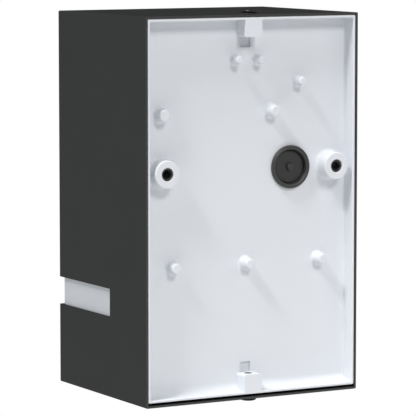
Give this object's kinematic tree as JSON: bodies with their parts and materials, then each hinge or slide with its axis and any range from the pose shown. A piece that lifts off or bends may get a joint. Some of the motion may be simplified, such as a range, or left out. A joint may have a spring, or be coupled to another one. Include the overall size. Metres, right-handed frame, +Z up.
{
  "type": "outdoor wall light",
  "caption": "Box-shaped outdoor wall light: folded metal cover with a light slot round its front and sides, over a moulded wall base with light box, driver and connector block.",
  "frame": {"origin": "midway between the two wall-screw holes, in the wall plane that the base rim and the cover edge lie in", "axes": "+Z up the wall, +Y into the wall (the front faces -Y), +X to the right of someone facing the front"},
  "size_m": [0.11, 0.086, 0.1768],
  "materials": {
    "cover_coat": "fine matt powder coat, anthracite",
    "base_moulding": "satin moulded plastic, white",
    "grommet_rubber": "matt rubber",
    "black_screw": "black plated steel",
    "zinc_screw": "zinc plated steel",
    "opal_diffuser": "opal plastic, satin",
    "bracket_aluminium": "mill finish",
    "seal_silicone": "matt silicone",
    "circuit_white": "white solder mask",
    "led_phosphor": "yellow phosphor",
    "reflector_white": "bright white",
    "driver_plastic": "black moulded plastic",
    "driver_circuit": "green solder mask",
    "transformer_tape": "yellow insulating tape",
    "capacitor_sleeve": "dark blue sleeve",
    "connector_plastic": "light grey plastic",
    "lever_plastic": "orange plastic",
    "contact_brass": "bright brass",
    "clamp_nylon": "natural nylon",
    "wire_brown": "brown insulation",
    "wire_blue": "blue insulation",
    "wire_earth": "green insulation with a yellow stripe",
    "wire_red": "red insulation",
    "wire_black": "black insulation"
  },
  "bodies": {
    "fixture": {"cover": "cover_coat", "mounting_base": "base_moulding", "wall_seal_left": "grommet_rubber", "wall_seal_right": "grommet_rubber", "cable_grommet": "grommet_rubber", "light_bracket": "bracket_aluminium", "bracket_screw_1": "zinc_screw", "bracket_screw_2": "zinc_screw", "bracket_screw_3": "zinc_screw", "diffuser": "opal_diffuser", "diffuser_gasket": "seal_silicone", "reflector": "reflector_white", "thermal_pad": "seal_silicone", "led_board": "circuit_white", "wire_grommet": "grommet_rubber", "earth_tag": "contact_brass", "earth_screw": "zinc_screw", "cover_earth_spring": "contact_brass", "driver_case": "driver_plastic", "driver_lid": "driver_plastic", "driver_board": "driver_circuit", "driver_transformer": "transformer_tape", "driver_capacitor": "capacitor_sleeve", "driver_screw_1": "zinc_screw", "driver_screw_2": "zinc_screw", "connector_body": "connector_plastic", "connector_screw_1": "zinc_screw", "connector_screw_2": "zinc_screw", "cable_clamp": "clamp_nylon", "clamp_screw": "zinc_screw", "live_wire": "wire_brown", "neutral_wire": "wire_blue", "earth_wire": "wire_earth", "led_wire_positive": "wire_red", "led_wire_negative": "wire_black", "diffuser_screw_1": "zinc_screw", "diffuser_screw_2": "zinc_screw", "diffuser_screw_3": "zinc_screw", "diffuser_screw_4": "zinc_screw", "led_1": "led_phosphor", "led_2": "led_phosphor", "led_3": "led_phosphor", "led_4": "led_phosphor", "led_5": "led_phosphor", "led_6": "led_phosphor", "led_7": "led_phosphor", "led_8": "led_phosphor", "contact_live": "contact_brass", "contact_neutral": "contact_brass", "contact_earth": "contact_brass"},
    "top_washer": {"cover_washer_top": "grommet_rubber"},
    "top_screw": {"cover_screw_top": "black_screw"},
    "bottom_washer": {"cover_washer_bottom": "grommet_rubber"},
    "bottom_screw": {"cover_screw_bottom": "black_screw"},
    "live_lever": {"lever_live": "lever_plastic"},
    "neutral_lever": {"lever_neutral": "lever_plastic"},
    "earth_lever": {"lever_earth": "lever_plastic"}
  },
  "joints": [
    {"name": "top_screw_travel", "type": "slide", "parent": "fixture", "child": "top_washer", "axis": [0, 0, 1], "range_m": [0, 0.0105]},
    {"name": "top_screw_turn", "type": "hinge", "parent": "top_washer", "child": "top_screw", "pos_m": [0, -0.0047, 0.07], "axis": [0, 0, 1], "range_deg": [0, 5400]},
    {"name": "bottom_screw_travel", "type": "slide", "parent": "fixture", "child": "bottom_washer", "axis": [0, 0, -1], "range_m": [0, 0.0105]},
    {"name": "bottom_screw_turn", "type": "hinge", "parent": "bottom_washer", "child": "bottom_screw", "pos_m": [0, -0.0047, -0.104], "axis": [0, 0, -1], "range_deg": [0, 5400]},
    {"name": "live_lever_lift", "type": "hinge", "parent": "fixture", "child": "live_lever", "pos_m": [-0.0116, -0.025, 0.054], "axis": [-1, 0, 0], "range_deg": [0, 90]},
    {"name": "neutral_lever_lift", "type": "hinge", "parent": "fixture", "child": "neutral_lever", "pos_m": [0, -0.025, 0.054], "axis": [-1, 0, 0], "range_deg": [0, 90]},
    {"name": "earth_lever_lift", "type": "hinge", "parent": "fixture", "child": "earth_lever", "pos_m": [0.0116, -0.025, 0.054], "axis": [-1, 0, 0], "range_deg": [0, 90]}
  ],
  "couplings": [
    {"joint": "top_screw_turn", "follows": "top_screw_travel", "rad_per_m": 8976},
    {"joint": "bottom_screw_turn", "follows": "bottom_screw_travel", "rad_per_m": 8976}
  ]
}
